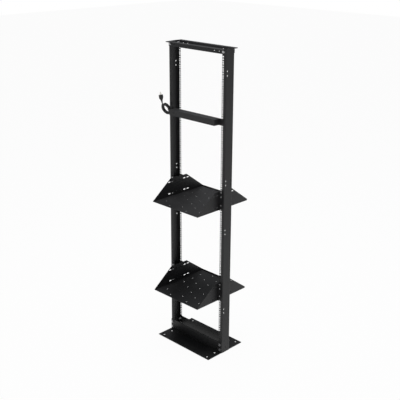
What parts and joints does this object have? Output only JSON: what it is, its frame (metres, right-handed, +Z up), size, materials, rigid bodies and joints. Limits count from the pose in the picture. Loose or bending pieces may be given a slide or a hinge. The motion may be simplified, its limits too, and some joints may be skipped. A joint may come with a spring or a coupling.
{
  "type": "two post open frame rack",
  "caption": "Free-standing rack of two punched steel channels on floor angles, tied by angles at the top, with centre-mounted shelves and a power strip whose cord is coiled beside it.",
  "frame": {"origin": "on the floor, midway between the two posts and midway between their front and back faces", "axes": "+Z up along the posts, +X to the right seen from the front, -Y out of the front, where the power strip is"},
  "size_m": [0.5738, 0.482, 2.1336],
  "materials": {
    "steel": "satin black powder coat",
    "strip_steel": "satin black powder coat",
    "plastic": "fine textured black",
    "cord": "matte black jacket",
    "pins": "nickel plated"
  },
  "bodies": {
    "root": {"left_post_web": "steel", "left_post_front_flange": "steel", "left_post_back_flange": "steel", "right_post_web": "steel", "right_post_front_flange": "steel", "right_post_back_flange": "steel", "base_front_angle": "steel", "base_back_angle": "steel", "top_front_angle": "steel", "top_back_angle": "steel", "upper_shelf_floor": "steel", "upper_shelf_left_side": "steel", "upper_shelf_right_side": "steel", "upper_bracket_front_left": "steel", "upper_bracket_front_right": "steel", "upper_bracket_back_left": "steel", "upper_bracket_back_right": "steel", "lower_shelf_floor": "steel", "lower_shelf_left_side": "steel", "lower_shelf_right_side": "steel", "lower_bracket_front_left": "steel", "lower_bracket_front_right": "steel", "lower_bracket_back_left": "steel", "lower_bracket_back_right": "steel", "power_strip_case": "strip_steel", "power_strip_left_ear": "strip_steel", "power_strip_right_ear": "strip_steel", "power_strip_outlets": "plastic", "power_strip_breaker": "plastic", "cord_clip": "plastic", "plug_body": "plastic", "cord_strain_relief": "cord", "cord_coil": "cord", "cord_lead": "cord", "plug_strain_relief": "cord", "plug_pins": "pins"}
  },
  "joints": []
}
